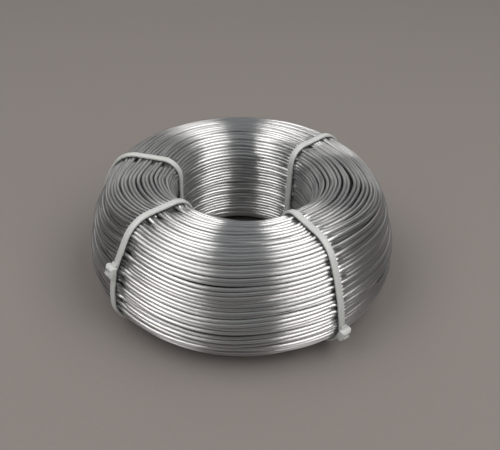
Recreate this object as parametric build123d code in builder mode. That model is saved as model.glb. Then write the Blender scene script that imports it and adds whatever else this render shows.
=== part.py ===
import os
from math import atan2, ceil, cos, degrees, radians, sin, sqrt

from build123d import *

os.makedirs("parts", exist_ok=True)

# A coil of soft aluminium wire, lying flat, bound by four nylon cable ties.
# The coil is one turned solid about the Z axis, with its bore right through. Its turns show on both ends.
# Each tie is one moulding: a flat strap round the coil's section and a ratchet head that holds the strap's tail.

# Turns on the coil's flat ends: the spacing of neighbours, how deep the valley between two of them is,
# and how much of the base they cover, from the bore outwards
turn_pitch = 2.06
turn_valley = 0.6
turned_base_share = 0.5

# Coil section: its sizes from the axis and from its lowest turn, the radius of each of its rounds,
# and how far a round turns, in degrees, from one of its straight facets to the next
outer_radius = 90.0
bore_radius = 38.5
coil_height = 65.0
outer_foot_round = 18.0
flank_round = 75.0
shoulder_round = 17.0
lip_round = 10.0
bore_foot_round = 13.0
facet_turn = 19.0

# Strap of a tie, and its clearance over the crests of the turns
strap_width = 3.6
strap_thickness = 1.3
strap_gap = 0.05

# Head of a tie: a chamfered block with a slot through it, which the strap's tail comes out of
head_width = 6.5
head_length = 6.8
head_height = 5.0
head_chamfer = 1.1
head_lift = 0.2
head_flare = 1.6
slot_back_wall = 1.7
slot_back_gap = 0.15
slot_side_gap = 0.2
root_wall = 1.9
tail_bend = 0.35
tail_proud = 0.35

# Ratchet: teeth on the tail, and the pawl in the slot that catches them
tooth_pitch = 0.9
tooth_slant = 0.76
tooth_depth = 0.35
tooth_gap = 0.1
tail_teeth = 3
pawl_teeth = 2
pawl_thickness = 0.55
pawl_hinge = 0.9
pawl_side_gap = 0.15
pawl_tip_drop = 0.5

# Where each tie stands round the coil, in degrees from +X, and where its head sits on the coil's outside:
# degrees up the flank from the coil's widest turn, or below that turn where they are negative
ties = {
    "cable_tie_front_left": {"azimuth": 222.1, "head_angle": 16.0},
    "cable_tie_front_right": {"azimuth": -54.6, "head_angle": -8.0},
    "cable_tie_back_right": {"azimuth": 43.3, "head_angle": -24.0},
    "cable_tie_back_left": {"azimuth": 166.9, "head_angle": -42.0},
}

# The straps go round outside the turns, so the coil lies on them, just off the floor
strap_proud = strap_thickness + strap_gap

# Centres of the section's rounds: distance from the axis, then height
outer_foot_centre = (outer_radius - outer_foot_round, strap_proud + outer_foot_round)
flank_centre = (outer_radius - flank_round, outer_foot_centre[1])
shoulder_rise = coil_height - shoulder_round - outer_foot_round
shoulder_reach = sqrt((flank_round - shoulder_round) ** 2 - shoulder_rise**2)
shoulder_centre = (flank_centre[0] + shoulder_reach, flank_centre[1] + shoulder_rise)
flank_sweep = degrees(atan2(shoulder_rise, shoulder_reach))
lip_centre = (bore_radius + lip_round, strap_proud + coil_height - lip_round)
bore_foot_centre = (bore_radius + bore_foot_round, strap_proud + bore_foot_round)

# Along the strap, from the middle of the head: the slot's ends, and the tail inside the slot
slot_start = slot_back_wall - head_length / 2
slot_end = head_length / 2 - root_wall
tail_start = slot_start + slot_back_gap
tail_end = tail_start + strap_thickness
pawl_face = tail_end + tooth_gap
pawl_back = pawl_face + pawl_thickness

# Outwards from the strap's inner face: the head's underside, the pawl's tip, and the tail's cut end
head_floor = strap_thickness + head_lift
pawl_tip = head_height - pawl_tip_drop
tail_top = head_height + tail_proud
hinge_top = head_floor + pawl_hinge
first_tooth = hinge_top + tooth_pitch
pawl_reach = tooth_depth
tooth_slope = tooth_slant / tooth_depth


def tie_plane(azimuth):
    # Upright plane through the coil's axis, with x running outwards from the axis and y running up
    turn = radians(azimuth)
    return Plane(origin=(0, 0, 0), x_dir=(cos(turn), sin(turn), 0), z_dir=(sin(turn), -cos(turn), 0))


def section_runs(grow=0.0):
    # The coil's outline, grown or shrunk evenly, as its eight runs
    outer_foot = CenterArc(outer_foot_centre, outer_foot_round + grow, -90, 90)
    flank = CenterArc(flank_centre, flank_round + grow, 0, flank_sweep)
    shoulder = CenterArc(shoulder_centre, shoulder_round + grow, flank_sweep, 90 - flank_sweep)
    lip = CenterArc(lip_centre, lip_round + grow, 90, 90)
    bore_foot = CenterArc(bore_foot_centre, bore_foot_round + grow, 180, 90)
    crown = Line(shoulder @ 1, lip @ 0)
    wall = Line(lip @ 1, bore_foot @ 0)
    base = Line(bore_foot @ 1, outer_foot @ 0)
    return outer_foot, flank, shoulder, crown, lip, wall, bore_foot, base


def section_band(outside, inside):
    # A band all round the section, between the outline grown by two amounts
    with BuildLine() as outer_outline:
        section_runs(outside)
    make_face(outer_outline.edges())
    with BuildLine() as inner_outline:
        section_runs(inside)
    make_face(inner_outline.edges(), mode=Mode.SUBTRACT)


def turn_points(run):
    # As many turns side by side as a flat run of the outline holds: crests on it and valleys between them
    turns = int(run.length / turn_pitch)
    first_crest = (run.length - turns * turn_pitch) / 2
    points = []
    for step in range(2 * turns + 1):
        spot = (first_crest + step * turn_pitch / 2) / run.length
        along = run % spot
        depth = turn_valley if step % 2 else 0
        points.append(run @ spot + Vector(-along.Y, along.X, 0) * depth)
    return points


def facet_points(round_run):
    # Corners of the few straight facets that follow a round of the outline
    facets = ceil(degrees(round_run.length / round_run.radius) / facet_turn)
    return [round_run @ (facet / facets) for facet in range(facets)]


def head_spot(head_angle):
    # Where a head sits in its tie's plane: on the strap's inner face, with x outwards and y along the strap
    centre, reach = (flank_centre, flank_round) if head_angle > 0 else (outer_foot_centre, outer_foot_round)
    return Pos(*centre) * Rot(0, 0, head_angle) * Pos(reach + strap_gap, 0)


def tooth(top, root, depth, mode=Mode.ADD):
    # Side view of a ratchet tooth or notch: square to the strap at its top and sloping away below
    Polygon((top, root), (top, root - depth), (top - depth * tooth_slope, root), align=None, mode=mode)


def make_tie(name, azimuth, head_angle):
    plane = tie_plane(azimuth)
    spot = head_spot(head_angle)
    with BuildPart() as tie:
        # Head block, with its outer edges chamfered, and the slot through it
        with BuildSketch(plane):
            with Locations(spot * Pos(head_floor, 0)):
                Rectangle(head_height - head_floor, head_length, align=(Align.MIN, Align.CENTER))
        extrude(amount=head_width / 2, both=True)
        outer_face = tie.faces().sort_by_distance(plane.from_local_coords((spot * Pos(head_height, 0)).position))[0]
        chamfer(outer_face.edges(), head_chamfer)
        with BuildSketch(plane):
            with Locations(spot * Pos(0, slot_start)):
                Rectangle(tail_top, slot_end - slot_start, align=Align.MIN)
        extrude(amount=strap_width / 2 + slot_side_gap, both=True, mode=Mode.SUBTRACT)

        # Pawl: a tongue hinged on the slot's root wall, with teeth in the notches of the tail
        with BuildSketch(plane):
            with Locations(spot):
                Polygon(
                    (head_floor, slot_end),
                    (hinge_top, slot_end),
                    (hinge_top, pawl_back),
                    (pawl_tip, pawl_back),
                    (pawl_tip, pawl_face),
                    (hinge_top, pawl_face),
                    align=None,
                )
                for number in range(pawl_teeth):
                    tooth(first_tooth + number * tooth_pitch, pawl_face, pawl_reach)
        extrude(amount=strap_width / 2 - pawl_side_gap, both=True)

        # Strap round the coil, its root in the head, and its tail bent out through the slot
        with BuildSketch(plane) as strap:
            section_band(strap_proud, strap_gap)
            with Locations(spot * Pos(0, tail_end)):
                Rectangle(2 * head_floor, slot_end - tail_end, align=(Align.CENTER, Align.MIN), mode=Mode.SUBTRACT)
            with Locations(spot * Pos(0, tail_start)):
                Rectangle(tail_top, strap_thickness, align=Align.MIN)
            for corner, bend in (
                ((0, tail_end), tail_bend + strap_thickness),
                ((strap_thickness, tail_start), tail_bend),
            ):
                fillet(strap.vertices().sort_by_distance((spot * Pos(*corner)).position)[0], bend)
            with Locations(spot):
                Polygon(
                    (0, slot_end),
                    (hinge_top, slot_end),
                    (hinge_top, head_length / 2),
                    (strap_thickness, head_length / 2 + head_flare),
                    (0, head_length / 2),
                    align=None,
                )
                for number in range(tail_teeth):
                    top = first_tooth + (number - 1) * tooth_pitch + tooth_gap
                    tooth(top, tail_end, tooth_depth, Mode.SUBTRACT)
        extrude(amount=strap_width / 2, both=True)
    tie.part.label = name
    return tie.part


with BuildPart() as wire_coil:
    with BuildSketch(Plane.XZ):
        with BuildLine():
            with BuildLine(mode=Mode.PRIVATE):
                outer_foot, flank, shoulder, crown, lip, wall, bore_foot, base = section_runs()
            Polyline(
                *facet_points(outer_foot),
                *facet_points(flank),
                *facet_points(shoulder),
                *turn_points(crown),
                *facet_points(lip)[1:],
                wall @ 0,
                *facet_points(bore_foot),
                *turn_points(base.trim(0, turned_base_share)),
                close=True,
            )
        make_face()
    revolve(axis=Axis.Z)
wire_coil.part.label = "wire_coil"
export_step(wire_coil.part, "parts/wire_coil.step")

for name, place in ties.items():
    export_step(make_tie(name, place["azimuth"], place["head_angle"]), f"parts/{name}.step")
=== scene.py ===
from math import cos, pi, radians, sin, sqrt
import bmesh
import bpy
import numpy as np
from mathutils import Matrix, Vector


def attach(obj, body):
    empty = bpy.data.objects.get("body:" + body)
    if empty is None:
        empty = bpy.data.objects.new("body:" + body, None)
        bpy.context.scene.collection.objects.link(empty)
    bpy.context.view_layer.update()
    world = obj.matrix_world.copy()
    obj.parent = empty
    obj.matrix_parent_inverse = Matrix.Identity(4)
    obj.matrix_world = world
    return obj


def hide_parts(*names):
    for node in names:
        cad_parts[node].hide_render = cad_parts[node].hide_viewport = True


# A coil of bright drawn aluminium wire, bound by four nylon cable ties.
# Sizes are in millimetres here and turned to metres when a mesh is made.

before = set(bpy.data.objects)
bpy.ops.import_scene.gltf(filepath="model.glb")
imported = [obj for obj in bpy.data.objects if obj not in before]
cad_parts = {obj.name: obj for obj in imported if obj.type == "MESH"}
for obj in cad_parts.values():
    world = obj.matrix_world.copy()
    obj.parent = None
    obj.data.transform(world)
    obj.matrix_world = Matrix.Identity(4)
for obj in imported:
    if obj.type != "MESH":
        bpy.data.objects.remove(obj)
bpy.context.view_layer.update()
mm = 0.001


def linearColour(hexCode):
    # sRGB hex to the linear values that the sockets take
    channels = [int(hexCode[at:at + 2], 16) / 255 for at in (1, 3, 5)]
    return [c / 12.92 if c <= 0.04045 else ((c + 0.055) / 1.055) ** 2.4 for c in channels] + [1.0]


def addNode(tree, kind, inputs=None, **settings):
    # a node with its settings, then its sockets: a value, or another node's output to link
    node = tree.nodes.new(kind)
    node.location = (190 * len(tree.nodes), 0)
    for name, value in settings.items():
        setattr(node, name, value)
    for socket, value in (inputs or {}).items():
        if isinstance(value, bpy.types.NodeSocket):
            tree.links.new(value, node.inputs[socket])
        else:
            node.inputs[socket].default_value = value
    return node


def newMaterial(name):
    material = bpy.data.materials.new(name)
    material.use_nodes = True
    material.node_tree.nodes.clear()
    return material, material.node_tree


def aluminiumWire():
    # soft aluminium wire, drawn bright through a die: die lines too fine to see run along it and
    # spread each highlight across the wire, while along the wire it stays long and nearly sharp
    finish = {
        "metal": "#dbdcdc",
        "duller": "#c7c8c9",
        "hazeLong": 60.0,     # mm along the wire, then round it
        "hazeRound": 3.0,
        "hazeRange": (0.3, 0.7),
        "roughness": (0.31, 0.39),
        "dieSpread": 0.93,
        "dieTurn": 0.25,      # a quarter turn, from along the wire to across it
    }
    material, tree = newMaterial("aluminium_drawn_bright")
    spot = addNode(tree, "ShaderNodeAttribute", attribute_name="drawnSpot")
    run = addNode(tree, "ShaderNodeAttribute", attribute_name="wireRun")
    roundScale, longScale = 1 / (finish["hazeRound"] * mm), 1 / (finish["hazeLong"] * mm)
    hazeMap = addNode(tree, "ShaderNodeMapping", {
        "Vector": spot.outputs["Vector"], "Scale": (roundScale, roundScale, longScale),
    })
    haze = addNode(tree, "ShaderNodeTexNoise", {
        "Vector": hazeMap.outputs["Vector"], "Scale": 1.0, "Detail": 2.0, "Roughness": 0.5,
    })
    colour = addNode(tree, "ShaderNodeMix", {
        0: haze.outputs["Fac"],
        6: linearColour(finish["metal"]), 7: linearColour(finish["duller"]),
    }, data_type="RGBA")
    roughness = addNode(tree, "ShaderNodeMapRange", {
        "Value": haze.outputs["Fac"],
        "From Min": finish["hazeRange"][0], "From Max": finish["hazeRange"][1],
        "To Min": finish["roughness"][0], "To Max": finish["roughness"][1],
    })
    shader = addNode(tree, "ShaderNodeBsdfPrincipled", {
        "Base Color": colour.outputs[2], "Metallic": 1.0, "Roughness": roughness.outputs["Result"],
        "Anisotropic": finish["dieSpread"], "Anisotropic Rotation": finish["dieTurn"],
        "Tangent": run.outputs["Vector"],
    })
    addNode(tree, "ShaderNodeOutputMaterial", {"Surface": shader.outputs["BSDF"]})
    return material


def aluminiumPaintedShade():
    # the same wire deep inside the coil, where little light comes: its colours are darker copies of the
    # bright wire's, painted shade for the turns under the outer ones
    # both colours are painted shade: the bright wire darkened for the light that does not reach so deep
    finish = {"metal": "#5c5d5f", "duller": "#3b3c3e", "turn": 2.06, "roughness": (0.35, 0.55)}
    material, tree = newMaterial("aluminium_painted_shade")
    spot = addNode(tree, "ShaderNodeTexCoord")
    grain = addNode(tree, "ShaderNodeTexNoise", {
        "Vector": spot.outputs["Object"], "Scale": 1 / (finish["turn"] * mm), "Detail": 3.0,
    })
    colour = addNode(tree, "ShaderNodeMix", {
        0: grain.outputs["Fac"],
        6: linearColour(finish["metal"]), 7: linearColour(finish["duller"]),
    }, data_type="RGBA")
    roughness = addNode(tree, "ShaderNodeMapRange", {
        "Value": grain.outputs["Fac"],
        "To Min": finish["roughness"][0], "To Max": finish["roughness"][1],
    })
    shader = addNode(tree, "ShaderNodeBsdfPrincipled", {
        "Base Color": colour.outputs[2], "Metallic": 1.0, "Roughness": roughness.outputs["Result"],
    })
    addNode(tree, "ShaderNodeOutputMaterial", {"Surface": shader.outputs["BSDF"]})
    return material


def naturalNylon():
    # natural nylon 6.6, injection moulded: milky, a little see-through at its edges, satin
    finish = {
        "milk": "#c3c6c4", "shade": "#b2b5b3",
        "cloud": 9.0,                          # mm
        "grain": 0.5, "grainDepth": 0.02,      # mm, coarser than the real one, which is too fine to show
        "grainStrength": 0.3,
        "roughness": (0.34, 0.5),
        "index": 1.53,
        "seeThrough": 0.35, "seeThroughDepth": 1.2,
        "depthByColour": (1.0, 1.0, 0.9),      # of red, green and blue light
    }
    material, tree = newMaterial("nylon_natural_moulded")
    spot = addNode(tree, "ShaderNodeTexCoord")
    cloud = addNode(tree, "ShaderNodeTexNoise", {
        "Vector": spot.outputs["Object"], "Scale": 1 / (finish["cloud"] * mm), "Detail": 3.0,
    })
    grain = addNode(tree, "ShaderNodeTexNoise", {
        "Vector": spot.outputs["Object"], "Scale": 1 / (finish["grain"] * mm), "Detail": 2.0,
    })
    colour = addNode(tree, "ShaderNodeMix", {
        0: cloud.outputs["Fac"],
        6: linearColour(finish["milk"]), 7: linearColour(finish["shade"]),
    }, data_type="RGBA")
    roughness = addNode(tree, "ShaderNodeMapRange", {
        "Value": grain.outputs["Fac"],
        "To Min": finish["roughness"][0], "To Max": finish["roughness"][1],
    })
    bump = addNode(tree, "ShaderNodeBump", {
        "Height": grain.outputs["Fac"],
        "Strength": finish["grainStrength"], "Distance": finish["grainDepth"] * mm,
    })
    shader = addNode(tree, "ShaderNodeBsdfPrincipled", {
        "Base Color": colour.outputs[2], "Roughness": roughness.outputs["Result"],
        "IOR": finish["index"], "Normal": bump.outputs["Normal"],
        "Subsurface Weight": finish["seeThrough"], "Subsurface Radius": finish["depthByColour"],
        "Subsurface Scale": finish["seeThroughDepth"] * mm,
    })
    addNode(tree, "ShaderNodeOutputMaterial", {"Surface": shader.outputs["BSDF"]})
    return material


def paperFloor():
    # grey studio paper, uncoated: matt, with soft shadows and no shine
    finish = {"paper": "#7d7875", "shade": "#797471", "fibre": 3.0, "roughness": 0.85, "shine": 0.2}
    material, tree = newMaterial("studio_paper")
    spot = addNode(tree, "ShaderNodeTexCoord")
    fibre = addNode(tree, "ShaderNodeTexNoise", {
        "Vector": spot.outputs["Object"], "Scale": 1 / (finish["fibre"] * mm), "Detail": 4.0,
    })
    colour = addNode(tree, "ShaderNodeMix", {
        0: fibre.outputs["Fac"],
        6: linearColour(finish["paper"]), 7: linearColour(finish["shade"]),
    }, data_type="RGBA")
    shader = addNode(tree, "ShaderNodeBsdfPrincipled", {
        "Base Color": colour.outputs[2],
        "Roughness": finish["roughness"], "Specular IOR Level": finish["shine"],
    })
    addNode(tree, "ShaderNodeOutputMaterial", {"Surface": shader.outputs["BSDF"]})
    return material


wireMaterial = aluminiumWire()
paintedShadeMaterial = aluminiumPaintedShade()
nylonMaterial = naturalNylon()
print("materials made")

photoView = {
    "distance": 380.0, "elevation": 36.8, "lookHeight": 29.35, "roll": 1.8,
    "lens": 45.36, "shiftX": 0.0152, "shiftY": -0.001,
    "clip": (0.01, 20),        # metres
}
rise = radians(photoView["elevation"])
lookAt = Vector((0, 0, photoView["lookHeight"])) * mm
cameraData = bpy.data.cameras.new("photo_view")
cameraData.lens = photoView["lens"]
cameraData.shift_x, cameraData.shift_y = photoView["shiftX"], photoView["shiftY"]
cameraData.clip_start, cameraData.clip_end = photoView["clip"]
camera = bpy.data.objects.new("photo_view", cameraData)
camera.location = lookAt + Vector((0, -cos(rise), sin(rise))) * photoView["distance"] * mm
facing = (lookAt - camera.location).to_track_quat("-Z", "Y").to_matrix()
camera.rotation_euler = (facing @ Matrix.Rotation(radians(photoView["roll"]), 3, "Z")).to_euler()
bpy.context.collection.objects.link(camera)
bpy.context.scene.camera = camera

boxTint, scrimTint = (1.0, 0.972, 0.945), (0.93, 0.97, 1.0)

# The tall soft boxes and the panels over them keep clear of the upright plane that the camera looks
# along, which leaves a darker band down the middle of the coil, and their tops lean in so that the
# band stays even. The dim, cooler scrim and the fills behind keep the band and the sides from going
# black. Turned and raised in degrees, away in metres.
lamps = [
    {"name": "soft_box_left", "turn": -47, "rise": 33, "away": 1.15, "lean": -9,
     "size": (0.7, 1.7), "power": 3.4, "tint": boxTint},
    {"name": "soft_box_right", "turn": 48, "rise": 33, "away": 1.15, "lean": 9,
     "size": (0.74, 1.7), "power": 5.0, "tint": boxTint},
    {"name": "top_panel_left", "turn": -78, "rise": 58, "away": 1.5, "lean": -8,
     "size": (0.8, 1.5), "power": 10.5, "tint": boxTint},
    {"name": "top_panel_right", "turn": 80, "rise": 58, "away": 1.5, "lean": 8,
     "size": (0.8, 1.5), "power": 10.2, "tint": boxTint},
    {"name": "back_fill_left", "turn": -154, "rise": 37, "away": 1.6, "lean": 0,
     "size": (0.64, 0.9), "power": 1.6, "tint": boxTint},
    {"name": "back_fill_right", "turn": 154, "rise": 37, "away": 1.6, "lean": 0,
     "size": (0.64, 0.9), "power": 1.4, "tint": boxTint},
    {"name": "ceiling_scrim", "turn": 0, "rise": 84, "away": 1.4, "lean": 0,
     "size": (0.5, 1.6), "power": 1.0, "tint": scrimTint},
]
for made in lamps:
    lampData = bpy.data.lights.new(made["name"], "AREA")
    lampData.shape, lampData.energy = "RECTANGLE", made["power"]
    lampData.size, lampData.size_y = made["size"]
    lampData.color = made["tint"]
    lamp = bpy.data.objects.new(made["name"], lampData)
    turn, tilt = radians(made["turn"]), radians(made["rise"])
    away = Vector((sin(turn) * cos(tilt), -cos(turn) * cos(tilt), sin(tilt)))
    upEdge = away.cross(Vector((1, 0, 0))).normalized()
    placed = Matrix((upEdge.cross(away), upEdge, away)).transposed().to_4x4()
    placed = placed @ Matrix.Rotation(radians(made["lean"]), 4, "Z")
    placed.translation = lookAt + made["away"] * away
    lamp.matrix_world = placed
    bpy.context.collection.objects.link(lamp)

world = bpy.data.worlds.new("studio_room")
world.use_nodes = True
world.node_tree.nodes.clear()
# the walls that the camera and the metal see, and the soft light that the room gives back
roomTones = {"seen": "#37383a", "lit": "#8c8b8b"}
seenRoom = addNode(world.node_tree, "ShaderNodeBackground", {"Color": linearColour(roomTones["seen"])})
litRoom = addNode(world.node_tree, "ShaderNodeBackground", {"Color": linearColour(roomTones["lit"])})
path = addNode(world.node_tree, "ShaderNodeLightPath")
cameraOrGloss = addNode(world.node_tree, "ShaderNodeMath", {
    0: path.outputs["Is Camera Ray"], 1: path.outputs["Is Glossy Ray"],
}, operation="MAXIMUM")
seen = addNode(world.node_tree, "ShaderNodeMath", {
    0: cameraOrGloss.outputs["Value"], 1: path.outputs["Is Transmission Ray"],
}, operation="MAXIMUM")
room = addNode(world.node_tree, "ShaderNodeMixShader", {
    0: seen.outputs["Value"], 1: litRoom.outputs["Background"], 2: seenRoom.outputs["Background"],
})
addNode(world.node_tree, "ShaderNodeOutputWorld", {"Surface": room.outputs["Shader"]})
bpy.context.scene.world = world
bpy.context.scene.view_settings.view_transform = "Standard"

floorHalf = 4   # metres
floorCorners = [(x * floorHalf, y * floorHalf, 0) for x, y in ((-1, -1), (1, -1), (1, 1), (-1, 1))]
floorMesh = bpy.data.meshes.new("studio_floor")
floorMesh.from_pydata(floorCorners, [], [(0, 1, 2, 3)])
studioFloor = bpy.data.objects.new("studio_floor", floorMesh)
floorMesh.materials.append(paperFloor())
bpy.context.collection.objects.link(studioFloor)
print("camera, lamps and floor made")

# the coil's section, as the solid model has it
sectionForm = {
    "outerRadius": 90.0,
    "boreRadius": 38.5,
    "coilHeight": 65.0,
    "liftOffFloor": 1.35,   # the straps under it
    "outerFootRound": 18.0,
    "flankRound": 75.0,
    "shoulderRound": 17.0,
    "lipRound": 10.0,
    "boreFootRound": 13.0,
    "roundSteps": 90,       # places on each round
}


def sectionLine(inset, lipRound=sectionForm["lipRound"]):
    # the section's outline, moved in by inset: length along it, distance from the axis, height, and
    # the angle that it faces. It starts at the base's inner end and goes out, up, in and down the bore.
    form = sectionForm
    floorLine = form["liftOffFloor"]
    footSpot = (form["outerRadius"] - form["outerFootRound"], floorLine + form["outerFootRound"])
    flankSpot = (form["outerRadius"] - form["flankRound"], footSpot[1])
    shoulderRise = form["coilHeight"] - form["shoulderRound"] - form["outerFootRound"]
    shoulderReach = sqrt((form["flankRound"] - form["shoulderRound"]) ** 2 - shoulderRise ** 2)
    shoulderSpot = (flankSpot[0] + shoulderReach, flankSpot[1] + shoulderRise)
    lipSpot = (form["boreRadius"] + lipRound, floorLine + form["coilHeight"] - lipRound)
    boreFootSpot = (form["boreRadius"] + form["boreFootRound"], floorLine + form["boreFootRound"])
    flankEnd = np.degrees(np.arctan2(shoulderRise, shoulderReach))
    rounds = [
        (footSpot, form["outerFootRound"], -90, 0),
        (flankSpot, form["flankRound"], 0, flankEnd),
        (shoulderSpot, form["shoulderRound"], flankEnd, 90),
        (lipSpot, lipRound, 90, 180),
        (boreFootSpot, form["boreFootRound"], 180, 270),
    ]
    reach, height, facing = [boreFootSpot[0]], [floorLine + inset], [-pi / 2]
    for (centreX, centreZ), radius, start, end in rounds:
        angles = np.radians(np.linspace(start, end, form["roundSteps"]))
        reach += list(centreX + (radius - inset) * np.cos(angles))
        height += list(centreZ + (radius - inset) * np.sin(angles))
        facing += list(angles)
    reach, height, facing = np.array(reach), np.array(height), np.array(facing)
    steps = np.hypot(np.diff(reach), np.diff(height))
    return np.concatenate([[0], np.cumsum(steps)]), reach, height, facing


def onSection(line, along, depth):
    # a place on the outline, sunk by depth
    length, reach, height, facing = line
    along = np.mod(along, length[-1])
    angle = np.interp(along, length, facing)
    return (np.interp(along, length, reach) - depth * np.cos(angle),
            np.interp(along, length, height) - depth * np.sin(angle))


tieAzimuths = {"front_left": 222.1, "front_right": -54.6, "back_right": 43.3, "back_left": 166.9}

windings = {
    "diameter": 2.0,
    "turns": 92,
    "startAzimuth": 43.3,      # under a strap, where the pieces of the wire meet
    "samples": 256,            # round one turn, this much closer together within so many degrees of a strap
    "closer": 4,
    "closerWithin": 5,
    "sides": 12,
    "seed": 11,
    # between two straps: how deep a turn strays, in long and short waves, as shares of a turn
    "wander": {"front": 1.8, "right": 1.7, "back": 1.4, "left": 1.7},
    "leastWander": 0.1,
    "strayWaves": (0.1, 0.5),
    "longerWave": 0.9,         # its strength beside the shorter one
    "strayPower": 1.8,         # most turns stay proud, and few sink deep
    "waver": 0.42,             # short bends left from the drawing
    "waverWaves": 0.03,
    # under a strap: how far it pulls the turns in, and how far to each side
    "sink": 0.2,
    "sinkReach": {"front_left": 6.6, "front_right": 4.2, "back_right": 4.8, "back_left": 4.8},
    "holdFrom": 3,             # none below this height, where the coil rests on the strap
    "holdOver": 12,
    # some turns go deeper there, mostly on one side of the strap
    "pinch": {"front_left": 1.15, "front_right": 0.7, "back_right": 0.9, "back_left": 1.2},
    "pinchSide": {"front_left": 1, "front_right": -1, "back_right": -1, "back_left": 1},
    "pinchLean": 0.45,
    "pinchLeanOver": 2,
    "pinchWaves": 0.02,
    "pinchPower": 1.6,
    "pinchLimit": 2,
    # gaps: how unlike they are, from 0 to 1, and how much of the slack moves far
    "looseness": {"front": 0.45, "right": 0.75, "back": 0.4, "left": 0.65},
    "drift": {"front": 0.2, "right": 0.6, "back": 0.3, "left": 0.5},
    "neighbours": 2.5,         # that share a turn's slack
    "staying": 0.95,
    "gapWaves": 0.12,
    "gapContrast": 1.1,
    "evenGap": 0.5,
    "looseGap": 3.2,
    "leastGap": 0.05,
    "gapPower": 2.6,
    "closestSquared": 0.3,     # of two turns at unlike depths, in square millimetres
    # the fan on the crown: its middle turn, its width in turns, and its gaps outside it and in it
    "fanMiddle": 54,
    "fanReach": 11.5,
    "fanLeast": 0.5,
    "fanMore": 1.6,
    # the inner lip, rounder where the turns have slumped: how far they have, from 0 to 1
    "slackLipRound": 20.0,
    "slump": {"front": 0, "right": 0.35, "back": 0.8, "left": 0.3},
    "slumpedBy": 0.7,          # of the way to the middle between two straps
    "endDive": 2.1,            # of the wire's two ends, over this share of a turn
    "endOver": 0.2,
}

# stretches between two straps: middle and half width, in degrees
sectors = {
    "front": (263.75, 41.6),
    "right": (354.35, 48.9),
    "back": (105.1, 61.8),
    "left": (194.5, 27.6),
}

# gaps that stand open between two turns: after which turn, where, how far to each side, how wide
openGaps = [
    {"turn": 38, "azimuth": 264, "spread": 17, "width": 0.7},
    {"turn": 73, "azimuth": 101, "spread": 19, "width": 0.8},
    {"turn": 58, "azimuth": 352, "spread": 20, "width": 0.5},
    {"turn": 52, "azimuth": 355, "spread": 16, "width": 0.6},
    {"turn": 47, "azimuth": 3, "spread": 15, "width": 0.5},
    {"turn": 59, "azimuth": 192, "spread": 11, "width": 0.5},
    {"turn": 53, "azimuth": 196, "spread": 12, "width": 0.5},
    {"turn": 48, "azimuth": 190, "spread": 12, "width": 0.6},
    {"turn": 42, "azimuth": 199, "spread": 13, "width": 0.7},
]


def turnedBy(azimuth, middle):
    return (azimuth - middle + 180) % 360 - 180


def samplePhases(count):
    # shares of a turn, closer together near the straps than between them
    fine = np.linspace(0, 360, 3601)
    density = np.ones_like(fine)
    for azimuth in tieAzimuths.values():
        away = turnedBy(fine, azimuth - windings["startAzimuth"])
        density += windings["closer"] * np.exp(-(away / windings["closerWithin"]) ** 2)
    growth = np.concatenate([[0], np.cumsum((density[1:] + density[:-1]) / 2)])
    return np.interp(np.arange(count) / count * growth[-1], growth, fine) / 360


def softNoise(rng, turns, spread):
    # random ups and downs along the whole wire that change over a share of a turn
    perTurn, cutOff = 200, 4   # samples in a turn, and how many spreads the smoothing takes in
    steps = np.arange(-cutOff * spread * perTurn, cutOff * spread * perTurn + 1)
    kernel = np.exp(-((steps / (spread * perTurn)) ** 2) / 2)
    values = np.convolve(rng.standard_normal(int((turns + 1) * perTurn + len(steps))), kernel, "valid")
    values /= values.std()
    return lambda turn: np.interp(turn * perTurn, np.arange(len(values)), values)


def asShare(value):
    # any value, squeezed in between 0 and 1
    return 0.5 + 0.5 * np.tanh(value)


def eased(share):
    # from 0 to 1 with a soft start and a soft end
    share = np.clip(share, 0, 1)
    return share * share * (3 - 2 * share)


def sectorBlend(azimuth, strengths, shape=lambda inwards: inwards * (2 - inwards)):
    # nothing at the straps, and each sector's own strength halfway between them, where inwards is 1
    total = np.zeros_like(azimuth)
    for name, (middle, half) in sectors.items():
        total += strengths[name] * shape(np.clip(1 - np.abs(turnedBy(azimuth, middle)) / half, 0, 1))
    return total


def slumpedLines(inset):
    return sectionLine(inset), sectionLine(inset, windings["slackLipRound"])


def onSlumped(lines, along, depth, azimuth):
    # a place on the coil's own outline at an azimuth: the tight one at the straps, and nearer to the
    # slumped one between them, with along measured on the tight one
    slump = sectorBlend(azimuth, windings["slump"], lambda inwards: eased(inwards / windings["slumpedBy"]))
    share = lines[1][0][-1] / lines[0][0][-1]
    tight, slumped = onSection(lines[0], along, depth), onSection(lines[1], along * share, depth)
    return [(1 - slump) * there + slump * here for there, here in zip(tight, slumped)]


def placesAt(reach, height, azimuth):
    heading = np.radians(azimuth)
    return np.stack([reach * np.cos(heading), reach * np.sin(heading), height], -1) * mm


def strapHold(height):
    # how much of the sink a strap has at a height
    return eased((height - windings["holdFrom"]) / windings["holdOver"])


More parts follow.
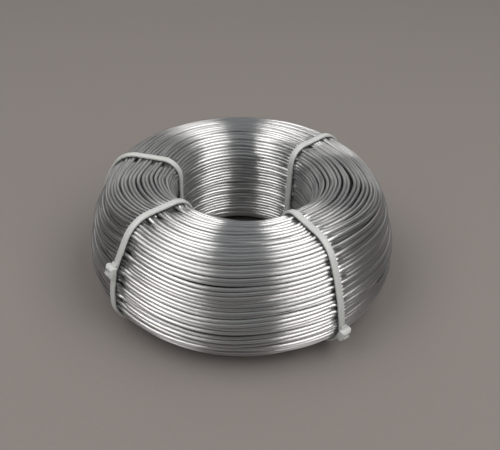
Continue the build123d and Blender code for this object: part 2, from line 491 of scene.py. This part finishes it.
def turnDepths(rng, turn, azimuth, reach, height):
    # how deep the turns lie below the outline: where they stray by themselves, and where a strap pulls
    made, turns = windings, windings["turns"]
    shorter = softNoise(rng, turns, made["strayWaves"][0])(turn)
    longer = softNoise(rng, turns, made["strayWaves"][1])(turn)
    stray = asShare(shorter + made["longerWave"] * longer)
    uneven = np.abs(softNoise(rng, turns, made["pinchWaves"])(turn))
    roomy = (reach / sectionForm["outerRadius"]) ** 2   # a short way between two straps bows less
    wander = sectorBlend(azimuth, made["wander"], lambda inwards: 1 - (1 - inwards) ** 3)
    free = (made["leastWander"] + wander * roomy) * stray ** made["strayPower"]
    free = free + made["waver"] * (1 + np.tanh(softNoise(rng, turns, made["waverWaves"])(turn)))
    sunk = np.zeros_like(free)
    for place, strap in tieAzimuths.items():
        away = np.radians(turnedBy(azimuth, strap)) * reach
        near = np.exp(-((np.abs(away) / made["sinkReach"][place]) ** 3))
        free = free * (1 - near)
        leaning = np.tanh(made["pinchSide"][place] * away / made["pinchLeanOver"])
        lopsided = 1 - made["pinchLean"] + made["pinchLean"] * leaning
        deeper = np.minimum(uneven ** made["pinchPower"], made["pinchLimit"])
        sunk = sunk + near * strapHold(height) * (made["sink"] + made["pinch"][place] * lopsided * deeper)
    return free, sunk


def turnSpacings(rng, between, azimuth, free, pitch):
    # from each turn to the next along the outline: turns at unlike depths touch closer together, and
    # what that leaves over is shared out as gaps
    made, turns = windings, windings["turns"]
    squared = made["diameter"] ** 2 - np.diff(free, axis=0) ** 2
    touching = np.sqrt(np.maximum(squared, made["closestSquared"]))
    inside = np.clip(between - 1, 0, 1) * np.clip(turns - 2 - between, 0, 1)
    loose = sectorBlend(azimuth, made["looseness"])
    chance = asShare(made["gapContrast"] * softNoise(rng, turns, made["gapWaves"])(between))
    # between two straps far apart the turns on the crown fan out and bow away from the bore
    fanAway = (between - made["fanMiddle"]) / made["fanReach"]
    fanned = made["fanLeast"] + made["fanMore"] * np.exp(-(fanAway ** 2))
    looseGaps = made["looseGap"] * fanned * (made["leastGap"] + chance ** made["gapPower"])
    weight = inside * ((1 - loose) * (made["evenGap"] + chance) + loose * looseGaps)
    opened = np.zeros_like(touching)
    for gap in openGaps:
        away = turnedBy(azimuth, gap["azimuth"]) / gap["spread"]
        opened[gap["turn"]] += gap["width"] * np.exp(-(away ** 2))
    fixed = pitch * (1 - inside) + inside * (touching + opened)
    # most of the slack stays among a few neighbours, and the rest moves round the whole section
    steps = np.arange(turns - 1)
    nearby = np.exp(-(((steps[:, None] - steps) / made["neighbours"]) ** 2))
    staying = (made["staying"] - sectorBlend(azimuth, made["drift"])) * weight
    spacing = fixed + staying * (nearby @ (inside * (pitch - touching))) / (nearby @ weight)
    share = ((turns - 1) * pitch - spacing.sum(0)) / weight.sum(0)
    print("smallest share left for gaps", round(float(share.min()), 4))
    return spacing + weight * share


def windOuterLayer():
    # the outermost turns as one wire, in a grid: each column is one azimuth and each row one turn
    made = windings
    turns, ends = made["turns"], made["endOver"]
    rng = np.random.default_rng(made["seed"])
    lines = slumpedLines(made["diameter"] / 2)
    pitch = lines[0][0][-1] / turns
    phases = samplePhases(made["samples"])
    azimuth = (made["startAzimuth"] + 360 * phases) % 360
    turn = np.arange(turns)[:, None] + phases[None, :]
    nominalReach, nominalHeight = onSection(lines[0], turn * pitch, 0)
    free, sunk = turnDepths(rng, turn, azimuth, nominalReach, nominalHeight)
    # the wire's two ends dive out of sight
    diving = np.clip(1 - turn / ends, 0, 1) ** 2 + np.clip(1 - (turns - turn) / ends, 0, 1) ** 2
    depth = free + sunk + made["endDive"] * diving
    spacing = turnSpacings(rng, turn[:-1], azimuth, free, pitch)
    along = pitch * phases[None, :] + np.concatenate([np.zeros((1, len(phases))), np.cumsum(spacing, 0)])
    reach, height = onSlumped(lines, along, depth, azimuth)
    return placesAt(reach, height, azimuth)


underTurns = {
    "turns": 89, "samples": 120, "sides": 6,
    "deeper": 2.0,             # than the outermost turns
    "stray": 0.25, "strayWaves": 0.1,
    "sink": 2.0, "sinkReach": 6,
}


def windInnerLayer():
    # the turns just under, which show only through gaps
    made = underTurns
    lines = slumpedLines(windings["diameter"] / 2 + made["deeper"])
    phases = np.arange(made["samples"]) / made["samples"]
    azimuth = windings["startAzimuth"] + 360 * phases
    turn = np.arange(made["turns"])[:, None] + phases[None, :]
    along = turn * lines[0][0][-1] / made["turns"]
    nominalReach, nominalHeight = onSection(lines[0], along, 0)
    rng = np.random.default_rng(windings["seed"] + 1)
    depth = made["stray"] * np.abs(softNoise(rng, made["turns"], made["strayWaves"])(turn))
    for strap in tieAzimuths.values():
        away = np.abs(np.radians(turnedBy(azimuth, strap))) * nominalReach
        depth = depth + np.exp(-((away / made["sinkReach"]) ** 2)) * strapHold(nominalHeight) * made["sink"]
    reach, height = onSlumped(lines, along, depth, azimuth % 360)
    return placesAt(reach, height, azimuth)


def sweepTree():
    # round wire swept along an edge path, with a place on the straightened wire for its material
    tree = bpy.data.node_groups.new("wire_sweep", "GeometryNodeTree")
    sockets = {}
    for name, kind in (("Path", "NodeSocketGeometry"), ("Wire Radius", "NodeSocketFloat"),
                       ("Sides", "NodeSocketInt"), ("Finish", "NodeSocketMaterial")):
        sockets[name] = tree.interface.new_socket(name, in_out="INPUT", socket_type=kind).identifier
    tree.interface.new_socket("Wire", in_out="OUTPUT", socket_type="NodeSocketGeometry")
    given = addNode(tree, "NodeGroupInput")
    path = addNode(tree, "GeometryNodeMeshToCurve", {"Mesh": given.outputs["Path"]})
    spline = addNode(tree, "GeometryNodeSplineParameter")
    measured = addNode(tree, "GeometryNodeStoreNamedAttribute", {
        "Geometry": path.outputs["Curve"], "Name": "wireLength", "Value": spline.outputs["Length"],
    }, data_type="FLOAT", domain="POINT")
    tangent = addNode(tree, "GeometryNodeInputTangent")
    directed = addNode(tree, "GeometryNodeStoreNamedAttribute", {
        "Geometry": measured.outputs["Geometry"], "Name": "wireRun", "Value": tangent.outputs["Tangent"],
    }, data_type="FLOAT_VECTOR", domain="POINT")
    ring = addNode(tree, "GeometryNodeCurvePrimitiveCircle", {
        "Resolution": given.outputs["Sides"], "Radius": given.outputs["Wire Radius"],
    })
    place = addNode(tree, "GeometryNodeInputPosition")
    ringPlaced = addNode(tree, "GeometryNodeStoreNamedAttribute", {
        "Geometry": ring.outputs["Curve"], "Name": "ringSpot", "Value": place.outputs["Position"],
    }, data_type="FLOAT_VECTOR", domain="POINT")
    swept = addNode(tree, "GeometryNodeCurveToMesh", {
        "Curve": directed.outputs["Geometry"], "Profile Curve": ringPlaced.outputs["Geometry"],
        "Fill Caps": True,
    })
    stored = "GeometryNodeInputNamedAttribute"
    length = addNode(tree, stored, {"Name": "wireLength"}, data_type="FLOAT")
    around = addNode(tree, stored, {"Name": "ringSpot"}, data_type="FLOAT_VECTOR")
    parts = addNode(tree, "ShaderNodeSeparateXYZ", {"Vector": around.outputs["Attribute"]})
    straight = addNode(tree, "ShaderNodeCombineXYZ", {
        "X": parts.outputs["X"], "Y": parts.outputs["Y"], "Z": length.outputs["Attribute"],
    })
    drawn = addNode(tree, "GeometryNodeStoreNamedAttribute", {
        "Geometry": swept.outputs["Mesh"], "Name": "drawnSpot", "Value": straight.outputs["Vector"],
    }, data_type="FLOAT_VECTOR", domain="POINT")
    smooth = addNode(tree, "GeometryNodeSetShadeSmooth", {"Geometry": drawn.outputs["Geometry"]})
    real = addNode(tree, "GeometryNodeRealizeInstances", {"Geometry": smooth.outputs["Geometry"]})
    coated = addNode(tree, "GeometryNodeSetMaterial", {
        "Geometry": real.outputs["Geometry"], "Material": given.outputs["Finish"],
    })
    addNode(tree, "NodeGroupOutput", {"Wire": coated.outputs["Geometry"]})
    return tree, sockets


def bakedMesh(host, name):
    # the host's evaluated mesh as a plain object at the origin; the host goes
    bpy.context.view_layer.update()
    evaluated = host.evaluated_get(bpy.context.evaluated_depsgraph_get())
    mesh = bpy.data.meshes.new_from_object(evaluated)
    mesh.name = name
    hostMesh = host.data
    bpy.data.objects.remove(host)
    bpy.data.meshes.remove(hostMesh)
    made = bpy.data.objects.new(name, mesh)
    bpy.context.collection.objects.link(made)
    return made


def edgePath(name, places):
    mesh = bpy.data.meshes.new(name + "_path")
    edges = [(at, at + 1) for at in range(len(places) - 1)]
    mesh.from_pydata([tuple(place) for place in places], edges, [])
    host = bpy.data.objects.new(name + "_path", mesh)
    bpy.context.collection.objects.link(host)
    return host


def sweptAlong(name, places, tree, sockets, inputs):
    # a sweep along a path, as a plain mesh
    host = edgePath(name, places)
    sweep = host.modifiers.new("sweep", "NODES")
    sweep.node_group = tree
    for socket, value in inputs.items():
        sweep[sockets[socket]] = value
    return bakedMesh(host, name)


wireTree, wireSockets = sweepTree()


def sweptWire(name, places, sides, finish):
    return sweptAlong(name, places, wireTree, wireSockets, {
        "Wire Radius": windings["diameter"] / 2 * mm, "Sides": sides, "Finish": finish,
    })


# first turn of each stretch of the wire, and the turn after its last
outerPieces = {
    "wire_turns_foot": (0, 23),
    "wire_turns_flank": (23, 43),
    "wire_turns_crown": (43, 64),
    "wire_turns_bore": (64, 92),
}
outerPlaces = windOuterLayer()
coilPieces = []
for name, (first, last) in outerPieces.items():
    stretch = outerPlaces[first:last].reshape(-1, 3)
    if last < len(outerPlaces):
        stretch = np.concatenate([stretch, outerPlaces[last][:1]])
    coilPieces.append(sweptWire(name, stretch, windings["sides"], wireMaterial))
    print(name, "has", len(coilPieces[-1].data.polygons), "faces")
innerPlaces = windInnerLayer().reshape(-1, 3)
# the turns under show through the gaps in painted shade, a darkened copy of the wire
coilPieces.append(sweptWire("wire_turns_under", innerPlaces, underTurns["sides"], paintedShadeMaterial))

heartForm = {"inset": 6.6, "around": 96, "along": 96}


def coilHeart():
    # the turns further in, closed off below what shows, dark with painted shade
    lines = slumpedLines(heartForm["inset"])
    around, along = heartForm["around"], heartForm["along"]
    spots = np.arange(along) / along * lines[0][0][-1]
    azimuth = np.arange(around)[:, None] / around * 360
    reach, height = onSlumped(lines, spots, 0, azimuth)
    places = placesAt(reach, height, azimuth).reshape(-1, 3)
    faces = []
    for here in range(around):
        after = (here + 1) % around
        for low in range(along):
            high = (low + 1) % along
            faces.append((here * along + low, after * along + low,
                          after * along + high, here * along + high))
    mesh = bpy.data.meshes.new("wire_coil_heart")
    mesh.from_pydata(places.tolist(), [], faces)
    mesh.polygons.foreach_set("use_smooth", [True] * len(faces))
    mesh.materials.append(paintedShadeMaterial)
    heart = bpy.data.objects.new("wire_coil_heart", mesh)
    bpy.context.collection.objects.link(heart)
    return heart


coilPieces.append(coilHeart())
for piece in coilPieces:
    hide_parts("wire_coil")
    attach(piece, "root")
print("wire wound")

tieForm = {
    "strapWidth": 3.6, "strapThickness": 1.3, "strapEdge": 0.35, "strapGap": 0.05,
    "strapStep": 1.7,          # from one place on its route to the next
    "headWidth": 6.5, "headLength": 6.8, "headFloor": 1.5, "headTop": 5.0,
    "headChamfer": 1.1, "headEdge": 0.35,
    "slot": (-1.7, 1.5), "slotWidth": 4.0,   # its two ends, along the strap from the head's middle
    "slotCut": 9.0,            # past the head's top
    "tailMiddle": -0.9, "tailBend": 1.0, "tailBendSteps": 6, "tailBendGap": 0.6, "tailTop": 5.35,
    "hingeTop": 2.4, "hingeSeat": 0.05,
    "pawlFace": -0.15, "pawlThickness": 0.55, "pawlTop": 4.5, "pawlWidth": 3.3,
    "teeth": 2, "toothPitch": 0.9, "toothDepth": 0.35, "toothSlant": 0.76,
    "flare": 1.6, "flareInset": 0.1,
    "sharpFrom": 38,           # degrees between two faces
}
ties = {"front_left": 16.0, "front_right": -8.0, "back_right": -24.0, "back_left": -42.0}   # head's angle

# how far a strap leans off its upright plane: lengths along it from the head, going up, and the
# sideways shifts there
tieLean = {
    "front_left": ((0, 12, 40, 70, 186), (1.0, -0.4, 0.3, 0.0, 1.0)),
    "front_right": ((0, 12, 25, 60, 80, 186), (-1.3, 0.3, 1.2, 1.2, 0.0, -1.3)),
    "back_right": ((0, 60, 100, 140, 186), (0.0, 0.2, 0.9, 1.2, 0.0)),
    "back_left": ((0, 60, 110, 186), (0.0, 0.3, 0.0, 0.0)),
}


def bandTree():
    # a flat band with rounded edges, swept along an edge path that stays nearly in one upright plane
    tree = bpy.data.node_groups.new("band_sweep", "GeometryNodeTree")
    sockets = {}
    for name, kind in (("Path", "NodeSocketGeometry"), ("Width", "NodeSocketFloat"),
                       ("Thickness", "NodeSocketFloat"), ("Edge Round", "NodeSocketFloat"),
                       ("Across", "NodeSocketVector"), ("Finish", "NodeSocketMaterial")):
        sockets[name] = tree.interface.new_socket(name, in_out="INPUT", socket_type=kind).identifier
    tree.interface.new_socket("Band", in_out="OUTPUT", socket_type="NodeSocketGeometry")
    given = addNode(tree, "NodeGroupInput")
    path = addNode(tree, "GeometryNodeMeshToCurve", {"Mesh": given.outputs["Path"]})
    turned = addNode(tree, "GeometryNodeSetCurveNormal", {
        "Curve": path.outputs["Curve"], "Normal": given.outputs["Across"],
    }, mode="FREE")
    oblong = addNode(tree, "GeometryNodeCurvePrimitiveQuadrilateral", {
        "Width": given.outputs["Width"], "Height": given.outputs["Thickness"],
    })
    rounded = addNode(tree, "GeometryNodeFilletCurve", {
        "Curve": oblong.outputs["Curve"], "Radius": given.outputs["Edge Round"], "Count": 2,
    }, mode="POLY")
    swept = addNode(tree, "GeometryNodeCurveToMesh", {
        "Curve": turned.outputs["Curve"], "Profile Curve": rounded.outputs["Curve"], "Fill Caps": True,
    })
    real = addNode(tree, "GeometryNodeRealizeInstances", {"Geometry": swept.outputs["Mesh"]})
    coated = addNode(tree, "GeometryNodeSetMaterial", {
        "Geometry": real.outputs["Geometry"], "Material": given.outputs["Finish"],
    })
    addNode(tree, "NodeGroupOutput", {"Band": coated.outputs["Geometry"]})
    return tree, sockets


strapTree, strapSockets = bandTree()


def prism(bm, corners, width):
    # a flat outline in the head's side view, drawn out to both sides
    sides = [[bm.verts.new((x, y, z)) for x, y in corners] for z in (-width / 2, width / 2)]
    faces = [bm.faces.new(sides[0][::-1]), bm.faces.new(sides[1])]
    count = len(corners)
    for at in range(count):
        after = (at + 1) % count
        faces.append(bm.faces.new((sides[0][at], sides[0][after], sides[1][after], sides[1][at])))
    bmesh.ops.recalc_face_normals(bm, faces=faces)


def plainObject(bm, name):
    mesh = bpy.data.meshes.new(name)
    bm.to_mesh(mesh)
    bm.free()
    made = bpy.data.objects.new(name, mesh)
    bpy.context.collection.objects.link(made)
    return made


def headBlock():
    # the ratchet head: a block with a chamfered, soft-edged top and a slot through it.
    # x runs outwards from the strap's inner face, y along the strap, z across it
    form = tieForm
    half = form["headLength"] / 2
    bm = bmesh.new()
    prism(bm, [(form["headFloor"], -half), (form["headTop"], -half),
               (form["headTop"], half), (form["headFloor"], half)], form["headWidth"])
    middle = (form["headFloor"] + form["headTop"]) / 2
    topEdges = [edge for edge in bm.edges if all(corner.co.x > middle for corner in edge.verts)]
    bmesh.ops.bevel(bm, geom=topEdges, offset=form["headChamfer"], segments=1, affect="EDGES")
    bmesh.ops.bevel(
        bm, geom=list(bm.edges), offset=form["headEdge"], segments=3, profile=0.5, affect="EDGES")
    bmesh.ops.recalc_face_normals(bm, faces=bm.faces)
    block = plainObject(bm, "head_block")
    cutter = bmesh.new()
    (low, high), top = form["slot"], form["slotCut"]
    prism(cutter, [(0, low), (top, low), (top, high), (0, high)], form["slotWidth"])
    slot = plainObject(cutter, "head_slot")
    cut = block.modifiers.new("slot", "BOOLEAN")
    cut.operation, cut.object, cut.solver = "DIFFERENCE", slot, "EXACT"
    head = bakedMesh(block, "head")
    bpy.data.objects.remove(slot)
    return head


def headInside(bm):
    # the pawl with its teeth, hinged on the slot's root wall, and the strap's flared root
    form = tieForm
    slotEnd, half, hinge, face = form["slot"][1], form["headLength"] / 2, form["hingeTop"], form["pawlFace"]
    back, seat = face + form["pawlThickness"], slotEnd + form["hingeSeat"]
    pawl = [(form["headFloor"], seat), (hinge, seat), (hinge, back), (form["pawlTop"], back),
            (form["pawlTop"], face)]
    for tooth in range(form["teeth"], 0, -1):
        crest = hinge + tooth * form["toothPitch"]
        pawl += [(crest, face), (crest, face - form["toothDepth"]), (crest - form["toothSlant"], face)]
    prism(bm, pawl + [(hinge, face)], form["pawlWidth"])
    inset = form["flareInset"]
    prism(bm, [(inset, slotEnd), (hinge, slotEnd), (hinge, half - 2 * inset),
               (form["strapThickness"] - inset, half + form["flare"]), (inset, half)],
          form["strapWidth"] - inset)


headMesh = headBlock()


def strapSink(line, along):
    # how far below the coil's outline a strap's inner face lies
    return windings["sink"] * strapHold(onSection(line, along, 0)[1]) - tieForm["strapGap"]


def headPlace(place, headAngle, line, middle):
    # where a head sits on its strap's inner face, and the ways out of it, up along the strap and across
    heading, tilt = radians(tieAzimuths[place]), radians(headAngle)
    outwards = Vector((cos(heading), sin(heading), 0))
    across = Vector((sin(heading), -cos(heading), 0))
    reach, height = onSection(line, middle, strapSink(line, middle))
    at = outwards * reach + Vector((0, 0, height)) + across * tieLean[place][1][0]
    out = outwards * cos(tilt) + Vector((0, 0, sin(tilt)))
    up = -outwards * sin(tilt) + Vector((0, 0, cos(tilt)))
    return outwards, at, out, up, across


def strapRoute(place, line, middle, head):
    # along the middle of the strap: from the head's root once round the coil, and out through the slot
    form = tieForm
    outwards, at, out, up, across = head
    half = form["strapThickness"] / 2
    bend, bendSteps = form["tailBend"], form["tailBendSteps"]
    turnIn = form["tailMiddle"] - bend
    routeEnd = middle + line[0][-1] + turnIn - form["tailBendGap"]
    spots = np.arange(middle + form["slot"][1], routeEnd, form["strapStep"])
    reaches, heights = onSection(line, spots, strapSink(line, spots) - half)
    leaning = np.interp(spots - middle, *tieLean[place])
    route = [outwards * reach + across * side + Vector((0, 0, height))
             for reach, height, side in zip(reaches, heights, leaning)]
    for step in range(bendSteps + 1):
        angle = step / bendSteps * pi / 2
        route.append(at + out * (half + bend - bend * cos(angle)) + up * (turnIn + bend * sin(angle)))
    route.append(at + out * form["tailTop"] + up * form["tailMiddle"])
    return [spot * mm for spot in route]


def makeTie(place, headAngle):
    form, line = tieForm, sectionLine(0)
    length, facing = line[0], line[3]
    middle = np.interp(radians(headAngle), facing[1:], length[1:])
    head = headPlace(place, headAngle, line, middle)
    at, out, up, across = head[1:]
    strap = sweptAlong("tie_" + place, strapRoute(place, line, middle, head), strapTree, strapSockets, {
        "Width": form["strapWidth"] * mm, "Thickness": form["strapThickness"] * mm,
        "Edge Round": form["strapEdge"] * mm, "Across": across, "Finish": nylonMaterial,
    })
    # the head joins its strap, as one moulding
    bm = bmesh.new()
    bm.from_mesh(headMesh.data)
    headInside(bm)
    turned = Matrix((out, up, across)).transposed().to_4x4()
    placed = Matrix.Scale(mm, 4) @ Matrix.Translation(at) @ turned
    bmesh.ops.transform(bm, matrix=placed, verts=bm.verts)
    bm.from_mesh(strap.data)
    bmesh.ops.recalc_face_normals(bm, faces=bm.faces)
    bm.to_mesh(strap.data)
    bm.free()
    strap.data.polygons.foreach_set("use_smooth", [True] * len(strap.data.polygons))
    strap.data.set_sharp_from_angle(angle=radians(form["sharpFrom"]))
    strap.data.materials.clear()
    strap.data.materials.append(nylonMaterial)
    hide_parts("cable_tie_" + place)
    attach(strap, "root")


for place, headAngle in ties.items():
    makeTie(place, headAngle)
bpy.data.objects.remove(headMesh)
print("ties fastened")
